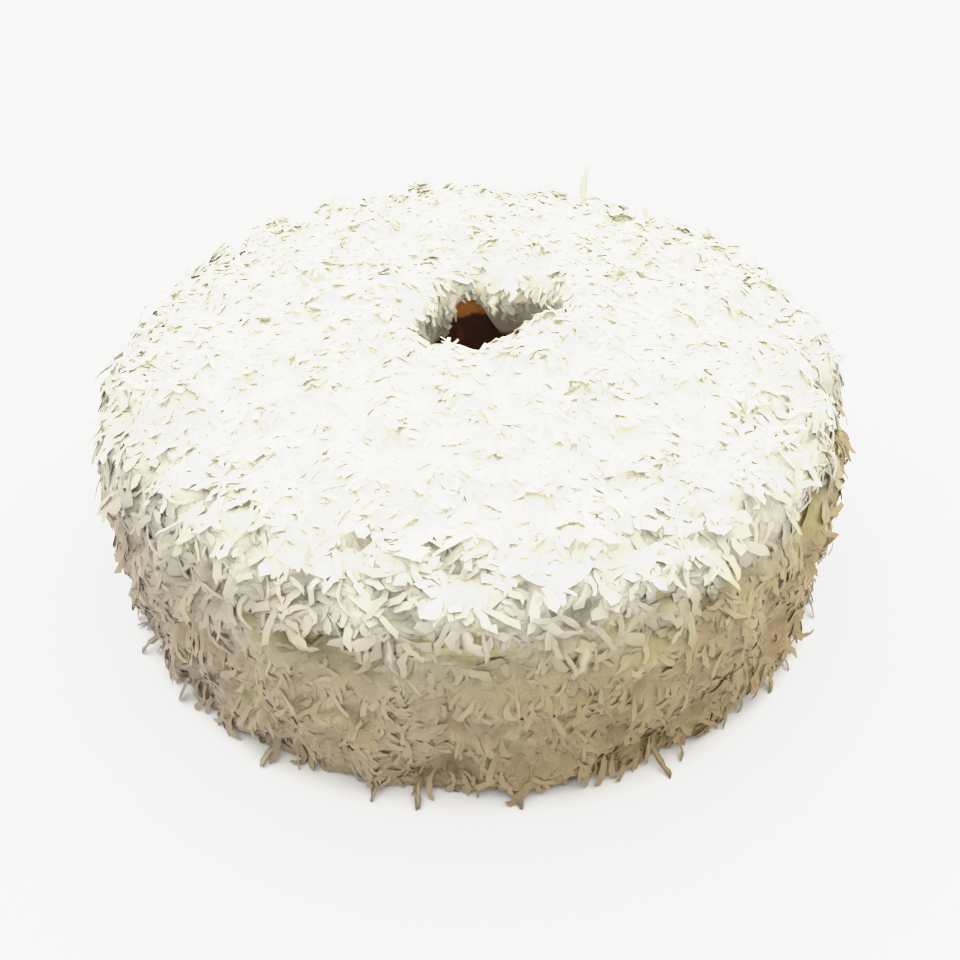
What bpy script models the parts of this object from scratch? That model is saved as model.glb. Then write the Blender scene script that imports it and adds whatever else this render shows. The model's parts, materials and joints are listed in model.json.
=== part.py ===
"""A coconut pound cake: a ring cake baked in a tube pan, iced all over and coated in shredded coconut.

Two solids, in metres, +Z up, standing on z = 0 with the origin in the middle of the base:
pound_cake is the baked ring, and coconut_icing is the coat over its side, its top and the mouth of its hole.

Both are turned from sections. A section is a list of (radius, height) points, and a ring of any radius
turns about an axis that drifts from the middle of the cake to the middle of its hole.
"""

import math
import random

import bmesh
import bpy
from mathutils import Vector, noise

# The baked ring. A tube pan is wider at its mouth, and its tube is narrower there. The top climbs
# from the outer edge towards the hole.
CAKE_BASE_RADIUS = 0.1245
CAKE_TOP_RADIUS = 0.1285
CAKE_SIDE_HEIGHT = 0.0860
CAKE_HOLE_HEIGHT = 0.0925
CAKE_CROWN = 0.0020
CAKE_EDGE_RADIUS = 0.0220
CAKE_FOOT_RADIUS = 0.0020
CAKE_SEGMENTS = 48
HOLE_BASE_RADIUS = 0.0350
HOLE_TOP_RADIUS = 0.0305
HOLE_EDGE_RADIUS = 0.0070
HOLE_CENTRE = Vector((0.0075, 0.0030, 0.0))
HOLE_SWAY_RADIUS = 0.0400

# The coat, measured to the middle of its bumps.
COAT_GAP = 0.0003
COAT_FOOT = 0.0010
COAT_BASE_RADIUS = 0.1360
COAT_SHOULDER_RADIUS = 0.1385
COAT_SHOULDER_Z = 0.0560
COAT_SHOULDER_REACH = 0.0300
COAT_RIM_Z = 0.0935
COAT_CROWN = 0.0020
COAT_MOUTH_Z = 0.1010
COAT_MOUTH_RADIUS = 0.0265
COAT_MOUTH_REACH = 0.0140
COAT_MOUTH_DROP = 0.0130
COAT_SEGMENTS = 2 * CAKE_SEGMENTS
LIP_EDGE = 0.0022
TUCK_SHORT = 0.0030
TUCK_LONG = 0.0200

# Coconut that has slid into the mouth of the hole, heaped to one side of it.
HEAP_DIRECTION = math.radians(-65)
HEAP_SPREAD = math.radians(60)
HEAP_REACH = 0.0080
HEAP_RISE = 0.0040

# Relief of the packed coconut, and the share of it that the thinner parts of the coat take.
BUMP_SPACING = 0.0130
BUMP_HEIGHT = 0.0036
SWELL_SPACING = 0.0500
SWELL_HEIGHT = 0.0014
FOOT_SHARE = 0.35
MOUTH_SHARE = 0.50
LIP_SHARE = 0.15

# Single shreds that stand out of the coat, at true size.
SHRED_COUNT = 116
SHRED_SPREAD = 0.93
SHRED_LENGTH = (0.0180, 0.0270)
SHRED_WIDTH = (0.0036, 0.0056)
SHRED_THICKNESS = 0.0012
SHRED_RINGS = 4
SHRED_ROOT_DEPTH = 0.0020
SHRED_ROOT_SHARE = 0.2
SHRED_LIFT = (math.radians(11), math.radians(23))
SHRED_CURL = (math.radians(-22), math.radians(8))
SHRED_SWING = 0.6
SHRED_CLEARANCE = 0.0012
STEEP = 0.6
GOLDEN_ANGLE = math.pi * (3 - math.sqrt(5))
SEED = 7


def clear_scene():
    for item in list(bpy.data.objects):
        bpy.data.objects.remove(item)


def mix(low, high, share):
    return low + (high - low) * share


def clamped(share):
    return min(max(share, 0.0), 1.0)


def turns(count):
    return [2 * math.pi * step / count for step in range(count)]


# Sections. Each of these three gives the points of one stretch, without its first point.


def quarter_arc(corner, start, end, steps):
    """A quarter ellipse from start to end that bulges towards corner."""
    points = []
    for step in range(1, steps + 1):
        angle = math.pi / 2 * step / steps
        points.append(start + (corner - start) * math.sin(angle) + (end - corner) * (1 - math.cos(angle)))
    return points


def straight(start, end, steps):
    return [start.lerp(end, step / steps) for step in range(1, steps + 1)]


def crowned(start, end, rise, steps):
    """A line from start to end, raised into a shallow arch."""
    arches = [rise * math.sin(math.pi * step / steps) for step in range(1, steps + 1)]
    return [point + Vector((0.0, arch)) for point, arch in zip(straight(start, end, steps), arches)]


def cake_section(clearance=0.0):
    """The baked ring's closed section, from the inner foot out, up and back down the hole."""
    outer_foot = Vector((CAKE_BASE_RADIUS + clearance, 0.0))
    inner_foot = Vector((HOLE_BASE_RADIUS - clearance, 0.0))
    outer_top = Vector((CAKE_TOP_RADIUS + clearance, CAKE_SIDE_HEIGHT + clearance))
    inner_top = Vector((HOLE_TOP_RADIUS - clearance, CAKE_HOLE_HEIGHT + clearance))
    foot_in = Vector((CAKE_FOOT_RADIUS, 0.0))
    foot_up = Vector((0.0, CAKE_FOOT_RADIUS))
    side_end = outer_top - Vector((0.0, CAKE_EDGE_RADIUS))
    top_start = outer_top - Vector((CAKE_EDGE_RADIUS, 0.0))
    top_end = inner_top + Vector((HOLE_EDGE_RADIUS, 0.0))
    hole_start = inner_top - Vector((0.0, HOLE_EDGE_RADIUS))
    points = [inner_foot + foot_in]
    points += straight(inner_foot + foot_in, outer_foot - foot_in, 2)
    points += quarter_arc(outer_foot, outer_foot - foot_in, outer_foot + foot_up, 2)
    points += straight(outer_foot + foot_up, side_end, 1)
    points += quarter_arc(outer_top, side_end, top_start, 4)
    points += crowned(top_start, top_end, CAKE_CROWN, 4)
    points += quarter_arc(inner_top, top_end, hole_start, 3)
    points += straight(hole_start, inner_foot + foot_up, 2)
    points += quarter_arc(inner_foot, inner_foot + foot_up, inner_foot + foot_in, 2)[:-1]
    return points


def tuck_depth(angle):
    """How far the coat runs down the hole below the cake's rounded edge: it was spread unevenly."""
    wave = 0.5 + 0.3 * math.sin(angle - 0.2) * math.cos(angle + 0.5) + 0.2 * math.sin(3 * angle + 1.0)
    return mix(TUCK_SHORT, TUCK_LONG, clamped(wave))


def covered_section(angle):
    """The coat's inner section: the stretch of the cake that it covers, a small gap away."""
    section = cake_section(COAT_GAP)
    edge_end = CAKE_HOLE_HEIGHT - HOLE_EDGE_RADIUS
    first = next(i for i, point in enumerate(section) if point.x > CAKE_BASE_RADIUS and point.y > 0)
    last = max(i for i, point in enumerate(section) if point.y > edge_end)
    covered = section[first : last + 1]
    covered[0].y = COAT_FOOT
    depth = tuck_depth(angle)
    flare = (HOLE_BASE_RADIUS - HOLE_TOP_RADIUS) / CAKE_HOLE_HEIGHT
    covered.append(covered[-1] + Vector((flare * depth, -depth)))
    return covered


def heap_share(angle):
    """How much of the heap stands at an angle: 1 in its middle, and nearly 0 across the hole from it."""
    turn = (angle - HEAP_DIRECTION + math.pi) % (2 * math.pi) - math.pi
    return math.exp(-((turn / HEAP_SPREAD) ** 2))


def coat_section(angle):
    """The coat's mean outer section, from its foot, over the top and into the hole."""
    foot = Vector((COAT_BASE_RADIUS, COAT_FOOT))
    shoulder = Vector((COAT_SHOULDER_RADIUS, COAT_SHOULDER_Z))
    shoulder_corner = Vector((COAT_SHOULDER_RADIUS, COAT_RIM_Z))
    rim = shoulder_corner - Vector((COAT_SHOULDER_REACH, 0.0))
    heap = heap_share(angle)
    mouth_corner = Vector((COAT_MOUTH_RADIUS - HEAP_REACH * heap, COAT_MOUTH_Z + HEAP_RISE * heap))
    mouth = mouth_corner + Vector((COAT_MOUTH_REACH, 0.0))
    throat = mouth_corner - Vector((0.0, COAT_MOUTH_DROP))
    lip = covered_section(angle)[-1] - Vector((LIP_EDGE, 0.0))
    points = [foot]
    points += straight(foot, shoulder, 6)
    points += quarter_arc(shoulder_corner, shoulder, rim, 6)
    points += crowned(rim, mouth, COAT_CROWN, 8)
    points += quarter_arc(mouth_corner, mouth, throat, 3)
    points += straight(throat, lip, 2)
    return points


# From a section to places in space.


def centre_at(radius):
    """The axis that a ring of this radius turns about: the outline's own far out, and the hole's close in."""
    share = (COAT_SHOULDER_RADIUS - radius) / (COAT_SHOULDER_RADIUS - HOLE_SWAY_RADIUS)
    return HOLE_CENTRE * clamped(share)


def direction(step, angle):
    return Vector((step.x * math.cos(angle), step.x * math.sin(angle), step.y))


def around(point, angle):
    return centre_at(point.x) + direction(point, angle)


def outward(section, index):
    """Unit normal of a section at one of its points, to the right of its direction of travel."""
    before = section[max(index - 1, 0)]
    after = section[min(index + 1, len(section) - 1)]
    along = (after - before).normalized()
    return Vector((along.y, -along.x))


def relief_at(place):
    """Height of the packed coconut above its mean surface."""
    fine = noise.noise(place / BUMP_SPACING)
    broad = noise.noise(place / SWELL_SPACING + Vector((5.0, 3.0, 1.0)))
    return 2 * BUMP_HEIGHT * fine + 2 * SWELL_HEIGHT * broad


def relief_share(index, count):
    """How much of the relief a point of the coat's section takes."""
    if index == 0:
        return FOOT_SHARE
    from_lip = count - 1 - index
    return LIP_SHARE if from_lip < 3 else MOUTH_SHARE if from_lip < 6 else 1.0


def coat_outside(angle):
    """The coat's bumpy outside at an angle, as places from the foot to the lip."""
    section = coat_section(angle)
    places = []
    for index, point in enumerate(section):
        height = relief_at(around(point, angle)) * relief_share(index, len(section))
        moved = point + outward(section, index) * height
        moved.y = max(moved.y, COAT_FOOT)
        places.append(around(moved, angle))
    return places


# Meshes.


def strips_between(shape, slices):
    """Faces between neighbouring slices, all round."""
    for index, one in enumerate(slices):
        neighbour = slices[(index + 1) % len(slices)]
        for i in range(len(one) - 1):
            shape.faces.new((one[i], neighbour[i], neighbour[i + 1], one[i + 1]))


def stitch(shape, coarse, fine):
    """Faces between a ring of vertices and a ring with twice as many."""
    for index, vertex in enumerate(coarse):
        following = coarse[(index + 1) % len(coarse)]
        near, middle, far = (fine[(2 * index + step) % len(fine)] for step in range(3))
        shape.faces.new((vertex, near, middle))
        shape.faces.new((vertex, middle, following))
        shape.faces.new((following, middle, far))


def finished_mesh(name, shape, material):
    """Turns a closed bmesh into a smooth-shaded mesh of outward triangles."""
    bmesh.ops.triangulate(shape, faces=shape.faces)
    bmesh.ops.recalc_face_normals(shape, faces=shape.faces)
    mesh = bpy.data.meshes.new(name)
    shape.to_mesh(mesh)
    shape.free()
    mesh.shade_smooth()
    mesh.materials.append(material)
    return mesh


def add_object(name, mesh):
    made = bpy.data.objects.new(name, mesh)
    bpy.context.scene.collection.objects.link(made)
    return made


def plain_material(name, colour, roughness):
    material = bpy.data.materials.new(name)
    material.use_nodes = True
    shader = material.node_tree.nodes["Principled BSDF"]
    shader.inputs["Base Color"].default_value = (*colour, 1.0)
    shader.inputs["Roughness"].default_value = roughness
    shader.inputs["Metallic"].default_value = 0.0
    return material


def build_cake():
    shape = bmesh.new()
    slices = []
    for angle in turns(CAKE_SEGMENTS):
        slices.append([shape.verts.new(around(point, angle)) for point in cake_section()])
    strips_between(shape, [one + one[:1] for one in slices])
    crust = plain_material("browned_crust", (0.42, 0.17, 0.05), 0.75)
    return add_object("pound_cake", finished_mesh("pound_cake", shape, crust))


# Shreds.


def heading(along, out, pitch):
    return along * math.cos(pitch) + out * math.sin(pitch)


def shred_mesh(root, along, out, length, width, lift, curl, material):
    """One shred: a thin closed strip with pointed ends, which starts inside the coat and curls as it goes."""
    shape = bmesh.new()
    across = out.cross(along)
    step = length / (SHRED_RINGS + 1)
    place = root.copy()
    pitch = lift
    first_tip = shape.verts.new(place)
    rings = []
    for ring in range(SHRED_RINGS):
        place = place + heading(along, out, pitch) * step
        half = across * width / 2 * math.sin(math.pi * (ring + 1.1) / (SHRED_RINGS + 1.2))
        rise = heading(out, -along, pitch) * SHRED_THICKNESS / 2
        rings.append([shape.verts.new(place + side) for side in (half, rise, -half, -rise)])
        pitch += curl / SHRED_RINGS
    last_tip = shape.verts.new(place + heading(along, out, pitch) * step)
    for near, far in zip(rings, rings[1:]):
        for i in range(4):
            j = (i + 1) % 4
            shape.faces.new((near[i], near[j], far[j], far[i]))
    for i in range(4):
        j = (i + 1) % 4
        shape.faces.new((first_tip, rings[0][j], rings[0][i]))
        shape.faces.new((last_tip, rings[-1][i], rings[-1][j]))
    return finished_mesh("shred", shape, material)


def spot_on_coat(share, angle):
    """A place on the coat's outside at a share of its area, with its normal and its way down the section."""
    section = coat_section(angle)
    areas = [(far - near).length * (near.x + far.x) / 2 for near, far in zip(section, section[1:])]
    wanted = share * sum(areas)
    index = 0
    while wanted > areas[index]:
        wanted -= areas[index]
        index += 1
    near, far = section[index], section[index + 1]
    along = (far - near).normalized()
    mean = around(near.lerp(far, wanted / areas[index]), angle)
    out = direction(Vector((along.y, -along.x)), angle)
    return mean + out * relief_at(mean), out, direction(-along, angle)


def build_shreds(material):
    """The shreds, spread evenly over the coat by a golden-angle spiral. Those on the side hang."""
    draw = random.Random(SEED)
    made = bpy.data.collections.new("shreds")
    for index in range(SHRED_COUNT):
        share = (index + 0.5) / SHRED_COUNT * SHRED_SPREAD
        spot, out, down = spot_on_coat(share, index * GOLDEN_ANGLE + draw.uniform(-0.05, 0.05))
        turn = draw.gauss(0.0, SHRED_SWING) if out.z < STEEP else draw.uniform(-math.pi, math.pi)
        along = heading(down, out.cross(down), turn)
        length = draw.uniform(*SHRED_LENGTH)
        width = draw.uniform(*SHRED_WIDTH)
        root = spot - out * SHRED_ROOT_DEPTH - along * length * SHRED_ROOT_SHARE
        lift = draw.uniform(*SHRED_LIFT)
        curl = draw.uniform(*SHRED_CURL)
        mesh = shred_mesh(root, along, out, length, width, lift, curl, material)
        if min(vertex.co.z for vertex in mesh.vertices) > SHRED_CLEARANCE:
            made.objects.link(bpy.data.objects.new(f"shred_{index}", mesh))
    return made


def fuse(body, pieces):
    """Joins a collection of closed pieces to a body with one Boolean union, applied."""
    bpy.context.scene.collection.children.link(pieces)
    union = body.modifiers.new("fuse_shreds", "BOOLEAN")
    union.operation = "UNION"
    union.operand_type = "COLLECTION"
    union.collection = pieces
    union.solver = "EXACT"
    graph = bpy.context.evaluated_depsgraph_get()
    joined = bpy.data.meshes.new_from_object(body.evaluated_get(graph))
    body.modifiers.remove(union)
    body.data = joined
    for piece in list(pieces.objects):
        bpy.data.objects.remove(piece)
    bpy.data.collections.remove(pieces)


def keep_largest_shell(body):
    """Drops loose scraps, and fills hollows that fusing sealed, by keeping the largest connected shell."""
    shape = bmesh.new()
    shape.from_mesh(body.data)
    unseen = set(shape.verts)
    shells = []
    while unseen:
        front = {unseen.pop()}
        shell = set(front)
        while front:
            front = {edge.other_vert(vert) for vert in front for edge in vert.link_edges} - shell
            shell |= front
        unseen -= shell
        shells.append(shell)
    shells.sort(key=len)
    for scrap in shells[:-1]:
        bmesh.ops.delete(shape, geom=list(scrap), context="VERTS")
    shape.to_mesh(body.data)
    shape.free()


def build_coat():
    shape = bmesh.new()
    inside = []
    for angle in turns(CAKE_SEGMENTS):
        inside.append([shape.verts.new(around(point, angle)) for point in covered_section(angle)])
    outside = []
    for angle in turns(COAT_SEGMENTS):
        outside.append([shape.verts.new(place) for place in coat_outside(angle)])
    strips_between(shape, inside)
    strips_between(shape, outside)
    stitch(shape, [one[0] for one in inside], [one[0] for one in outside])
    stitch(shape, [one[-1] for one in inside], [one[-1] for one in outside])
    coconut = plain_material("moist_coconut", (0.86, 0.85, 0.78), 0.60)
    coat = add_object("coconut_icing", finished_mesh("coconut_icing", shape, coconut))
    fuse(coat, build_shreds(coconut))
    keep_largest_shell(coat)
    return coat


def centre_on_origin(pieces):
    """Moves every piece alike, so that the whole stands with the origin in the middle of its base."""
    corners = [vertex.co for piece in pieces for vertex in piece.data.vertices]
    middle_x = (min(c.x for c in corners) + max(c.x for c in corners)) / 2
    middle_y = (min(c.y for c in corners) + max(c.y for c in corners)) / 2
    for piece in pieces:
        piece.location = (-middle_x, -middle_y, 0.0)


def main():
    clear_scene()
    centre_on_origin([build_cake(), build_coat()])


main()
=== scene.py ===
# %% [markdown]
# # A coconut pound cake
#
# The cake is a ring baked in a tube pan, so it has a hole up its middle. It is spread with cream icing,
# and then shredded coconut is pressed on by the handful until hardly any icing shows. This lesson loads
# the plain solids of the cake as a frame, and dresses them: first the finishes, then an icing core with
# the relief of packed coconut, then tens of thousands of single shreds scattered over it by Geometry
# Nodes, then a few strays placed one by one, and at last a floor, a light, a camera and a tone curve.
#
# All lengths are in metres. The cake stands on the floor at height 0, and the camera looks along +Y. A
# compass direction is an angle in degrees about the middle of the cake: 0 is to the right, 90 is at the
# back and -90 is at the front.

# %% Load the frame
import json
import math
import random

import bmesh
import bpy
import numpy as np
from mathutils import Matrix, Vector, noise

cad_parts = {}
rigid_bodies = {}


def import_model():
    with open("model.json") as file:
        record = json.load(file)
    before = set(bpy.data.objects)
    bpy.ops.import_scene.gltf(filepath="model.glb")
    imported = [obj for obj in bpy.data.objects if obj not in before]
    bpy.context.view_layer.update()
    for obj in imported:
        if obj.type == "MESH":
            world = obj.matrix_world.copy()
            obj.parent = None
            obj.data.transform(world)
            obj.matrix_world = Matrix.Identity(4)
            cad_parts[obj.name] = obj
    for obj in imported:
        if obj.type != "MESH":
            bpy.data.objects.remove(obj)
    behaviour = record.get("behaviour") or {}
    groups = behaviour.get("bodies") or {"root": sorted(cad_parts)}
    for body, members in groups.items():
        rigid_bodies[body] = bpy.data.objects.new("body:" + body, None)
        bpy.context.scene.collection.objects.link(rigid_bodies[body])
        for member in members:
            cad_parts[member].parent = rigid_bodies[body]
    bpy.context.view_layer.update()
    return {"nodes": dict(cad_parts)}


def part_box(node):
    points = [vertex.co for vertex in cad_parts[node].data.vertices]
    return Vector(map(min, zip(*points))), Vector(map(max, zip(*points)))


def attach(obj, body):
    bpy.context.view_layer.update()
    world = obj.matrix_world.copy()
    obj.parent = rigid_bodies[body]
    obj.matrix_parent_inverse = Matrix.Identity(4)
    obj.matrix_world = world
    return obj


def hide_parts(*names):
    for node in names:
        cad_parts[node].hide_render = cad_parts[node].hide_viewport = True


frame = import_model()
cake_low, cake_high = (Vector(corner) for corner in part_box("pound_cake"))
coat_low, coat_high = (Vector(corner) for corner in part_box("coconut_icing"))
middle = Vector(((cake_low.x + cake_high.x) / 2, (cake_low.y + cake_high.y) / 2, 0.0))
print("cake", tuple(cake_high - cake_low), "coat", tuple(coat_high - coat_low), "middle", tuple(middle))

# %% [markdown]
# ## Writing node trees as sums
#
# Both the finishes and the scattering are node trees. Placing Math nodes one by one hides what they
# work out, so a small class wraps an output socket and lets Python's own operators add the nodes. Every
# other node comes from one method, which applies the node's settings before it fills the sockets,
# because some settings change which sockets there are.


# %% Wrap a socket
class Wire:
    """A node's output. Arithmetic on it adds Math nodes to its tree."""

    def __init__(self, graph, socket):
        self.graph = graph
        self.socket = socket

    def math(self, operation, first, second):
        return self.graph.node("ShaderNodeMath", {"operation": operation}, {0: first, 1: second})[0]

    def __add__(self, other):
        return self.math("ADD", self, other)

    def __radd__(self, other):
        return self.math("ADD", other, self)

    def __sub__(self, other):
        return self.math("SUBTRACT", self, other)

    def __rsub__(self, other):
        return self.math("SUBTRACT", other, self)

    def __mul__(self, other):
        return self.math("MULTIPLY", self, other)

    def __rtruediv__(self, other):
        return self.math("DIVIDE", other, self)


# %% Build a graph
class Made:
    """A node whose outputs are read as wires, by name or by number."""

    def __init__(self, graph, item):
        self.graph = graph
        self.item = item

    def __getitem__(self, key):
        return Wire(self.graph, self.item.outputs[key])


class Graph:
    """Adds nodes to a tree."""

    def __init__(self, tree):
        self.tree = tree

    def node(self, kind, settings=None, sockets=None):
        item = self.tree.nodes.new(kind)
        for name, value in (settings or {}).items():
            if name == "stops":
                self.set_stops(item.color_ramp, value)
            else:
                setattr(item, name, value)
        for key, value in (sockets or {}).items():
            self.fill(item.inputs[key], value)
        return Made(self, item)

    def fill(self, socket, value):
        if isinstance(value, Wire):
            self.tree.links.new(value.socket, socket)
        else:
            socket.default_value = value

    def set_stops(self, ramp, stops):
        while len(ramp.elements) < len(stops):
            ramp.elements.new(0.5)
        for element, (place, colour) in zip(ramp.elements, stops):
            element.position = place
            element.color = colour

    def vector(self, operation, first, second):
        return self.node("ShaderNodeVectorMath", {"operation": operation}, {0: first, 1: second})[0]

    def scaled(self, first, factor):
        return self.node("ShaderNodeVectorMath", {"operation": "SCALE"}, {0: first, 3: factor})[0]

    def dot(self, first, second):
        return self.node("ShaderNodeVectorMath", {"operation": "DOT_PRODUCT"}, {0: first, 1: second})["Value"]

    def between(self, value, low, high):
        """0 below low, 1 above high, and a smooth step in between."""
        settings = {"interpolation_type": "SMOOTHSTEP"}
        return self.node("ShaderNodeMapRange", settings, {0: value, 1: low, 2: high})[0]

    def blend(self, factor, first, second, how="MIX"):
        """A colour between two colours, or the first tinted by the second where how is MULTIPLY."""
        settings = {"data_type": "RGBA", "blend_type": how}
        return self.node("ShaderNodeMix", settings, {0: factor, 6: first, 7: second})[2]


# %% [markdown]
# ## The finishes
#
# Coconut is white, but never one white. Each shred carries a number called tone, set when it is
# scattered, and the finish reads it as an attribute, so that neighbours differ while each shred stays
# even. Shade is painted on the coat: it is whitest on the top and grows darker and tan down the side,
# with painted cool light on the left and painted warm light on the right. A colour ramp over the height
# does that, and noise makes its border uneven. An image painted on the side would do it too, but it would
# have to be drawn first. The icing is a dull butter yellow that shows only in the gaps. The crust is baked
# to an orange brown, and deep in the hole painted shade makes it nearly black.


# %% Start a finish
def colour(red, green, blue):
    return (red, green, blue, 1.0)


def new_finish(name):
    """An empty material with a shader. Returns the material, its graph and the shader node."""
    material = bpy.data.materials.new(name)
    material.use_nodes = True
    shader = material.node_tree.nodes["Principled BSDF"]
    return material, Graph(material.node_tree), shader


def noise_of(graph, place, size, detail=2.0):
    """Smooth noise from 0 to 1 with features about size metres across."""
    return graph.node("ShaderNodeTexNoise", {}, {"Vector": place, "Scale": 1.0 / size, "Detail": detail})[0]


def object_place(graph):
    return graph.node("ShaderNodeTexCoord")["Object"]


def height_of(graph, place):
    return graph.node("ShaderNodeSeparateXYZ", {}, {0: place})["Z"]


# %% Shade it by height
SHADE_RAMP_TOP = 0.100  # the ramp's stops are shares of this height
# Painted shade: the coat grows darker and tan from the shoulder down the side, where it stands in shade.
PAINTED_SHADE_STOPS = [
    (0.00, colour(0.36, 0.275, 0.180)),
    (0.40, colour(0.37, 0.285, 0.190)),
    (0.56, colour(0.40, 0.345, 0.255)),
    (0.70, colour(0.48, 0.455, 0.405)),
    (0.82, colour(0.69, 0.685, 0.68)),
    (0.94, colour(1.00, 1.00, 1.00)),
]
BORDER_SIZE = 0.022
BORDER_DRIFT = 0.13
# The painted shade reaches higher at the far left and right.
SHADE_CLIMB = 0.07  # how much higher the tan reaches at the far left and right
CLIMB_FADES = (0.50, 0.78)
LOW_FADES = (0.50, 0.85)
LEFT_FADES = (-0.125, -0.030)
RIGHT_FADES = (0.030, 0.125)
WARM_FADES = (-0.020, 0.050)
# Painted light on the lower side: cooler on the left, warmer on the right.
PAINTED_COOL_LIGHT_LEFT = colour(1.00, 1.05, 1.30)
PAINTED_WARM_LIGHT_RIGHT = colour(0.92, 0.86, 0.70)
# Shreds differ at random in how much of the painted shade they take.
PALE_SHREDS = 0.10  # how much less tint the palest shreds take


def shaded_by_height(graph, place, clean, amount):
    """Paints shade on a clean colour: darker and tanner down the side, cooler on the left and warmer on the
    right.
    """
    across = graph.node("ShaderNodeSeparateXYZ", {}, {0: place})["X"]
    left = 1.0 - graph.between(across, *LEFT_FADES)
    right = graph.between(across, *RIGHT_FADES)
    drift = (noise_of(graph, place, BORDER_SIZE) - 0.5) * BORDER_DRIFT
    height = height_of(graph, place) * (1.0 / SHADE_RAMP_TOP) + drift
    height = height - (left + right) * (1.0 - graph.between(height, *CLIMB_FADES)) * SHADE_CLIMB
    low = 1.0 - graph.between(height, *LOW_FADES)
    # The ramp paints shade by height.
    painted_shade = graph.node("ShaderNodeValToRGB", {"stops": PAINTED_SHADE_STOPS}, {"Fac": height})["Color"]
    with_painted_shade = graph.blend(amount, clean, painted_shade, "MULTIPLY")
    # Painted cool light on the left and painted warm light on the right, low on the side.
    with_painted_shade = graph.blend(left * low, with_painted_shade, PAINTED_COOL_LIGHT_LEFT, "MULTIPLY")
    warm_light_share = graph.between(across, *WARM_FADES)
    return graph.blend(warm_light_share * low * amount, with_painted_shade, PAINTED_WARM_LIGHT_RIGHT, "MULTIPLY")


# %% Finish the coconut
WHITE_COCONUT = colour(0.95, 0.935, 0.86)
CREAM_COCONUT = colour(0.93, 0.905, 0.80)


def coconut_finish():
    material, graph, shader = new_finish("shredded_coconut")
    place = object_place(graph)
    tone = graph.node("ShaderNodeAttribute", {"attribute_name": "tone"})["Fac"]
    patch = noise_of(graph, place, 0.030)
    creamy = graph.between(tone * 0.7 + patch * 0.6, 0.35, 1.0)
    white = graph.blend(creamy, WHITE_COCONUT, CREAM_COCONUT)
    # The base colour carries painted shade and painted light from shaded_by_height.
    graph.fill(shader.inputs["Base Color"], shaded_by_height(graph, place, white, 1.0 - tone * PALE_SHREDS))
    graph.fill(shader.inputs["Roughness"], 0.50 + tone * 0.2)
    grain = noise_of(graph, place, 0.0010, 2.0)
    bump = graph.node("ShaderNodeBump", {}, {"Strength": 0.25, "Distance": 0.0002, "Height": grain})
    graph.fill(shader.inputs["Normal"], bump["Normal"])
    return material


coconut = coconut_finish()


# %% Finish the icing
BARE_ICING = colour(0.44, 0.39, 0.21)


def icing_finish():
    """Packed coconut over icing. Where the attribute called gap is 1, the bare icing shows."""
    material, graph, shader = new_finish("butter_icing")
    place = object_place(graph)
    patch = noise_of(graph, place, 0.025)
    packed = graph.blend(graph.between(patch, 0.35, 0.7), WHITE_COCONUT, CREAM_COCONUT)
    gap = graph.node("ShaderNodeAttribute", {"attribute_name": "gap"})["Fac"]
    # The packed coconut takes the same painted shade as the shreds.
    packed = shaded_by_height(graph, place, packed, 1.0 - PALE_SHREDS / 2)
    graph.fill(shader.inputs["Base Color"], graph.blend(gap, packed, BARE_ICING))
    graph.fill(shader.inputs["Roughness"], 0.60 - gap * 0.25)
    swirl = noise_of(graph, place, 0.0025, 3.0)
    bump = graph.node("ShaderNodeBump", {}, {"Strength": 0.6, "Distance": 0.0008, "Height": swirl})
    graph.fill(shader.inputs["Normal"], bump["Normal"])
    shader.inputs["Subsurface Weight"].default_value = 1.0
    shader.inputs["Subsurface Radius"].default_value = (1.0, 0.9, 0.7)
    shader.inputs["Subsurface Scale"].default_value = 0.0020
    return material


icing = icing_finish()


# %% Finish the crust
CRUST_FADES = (0.0765, 0.0785)  # dark below these heights, golden above them
GOLDEN_CRUST = (colour(0.66, 0.25, 0.055), colour(0.46, 0.14, 0.035))
CRUST_PORES = colour(0.74, 0.42, 0.16)
# The baked crust's brown, painted much darker as shade deep in the hole.
CRUST_WITH_PAINTED_SHADE = (colour(0.060, 0.016, 0.008), colour(0.16, 0.040, 0.018))


def crust_finish():
    material, graph, shader = new_finish("baked_crust")
    place = object_place(graph)
    patch = noise_of(graph, place, 0.008, 4.0)
    pores = noise_of(graph, place, 0.0016, 3.0)
    golden = graph.blend(graph.between(patch, 0.35, 0.65), *GOLDEN_CRUST)
    golden = graph.blend(graph.between(pores, 0.55, 0.75), golden, CRUST_PORES)
    # Painted shade: deep in the hole the crust is painted nearly black.
    deep_painted_shade = graph.blend(graph.between(patch, 0.50, 0.70), *CRUST_WITH_PAINTED_SHADE)
    rise = graph.between(height_of(graph, place) + (patch - 0.5) * 0.010, *CRUST_FADES)
    graph.fill(shader.inputs["Base Color"], graph.blend(rise, deep_painted_shade, golden))
    graph.fill(shader.inputs["Roughness"], 0.45 + pores * 0.3)
    bump = graph.node("ShaderNodeBump", {}, {"Strength": 0.6, "Distance": 0.0006, "Height": pores})
    graph.fill(shader.inputs["Normal"], bump["Normal"])
    return material


cake = frame["nodes"]["pound_cake"]
for slot in cake.material_slots:
    slot.material = crust_finish()
print("finishes", [material.name for material in bpy.data.materials])

# %% [markdown]
# ## The icing core
#
# Under the shreds lies one closed ring of icing and packed coconut. Its shape is turned from a section,
# a list of (radius, height) points that climbs the side, rolls over the shoulder, crosses the top and
# turns down into the hole. The hole isn't quite in the middle of the cake, so a ring of any radius
# turns about an axis that drifts towards the hole as the radius shrinks. Sculpting would give the same
# shape, but a rule can be changed by a number, and it gives the same mesh on every run.

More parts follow.
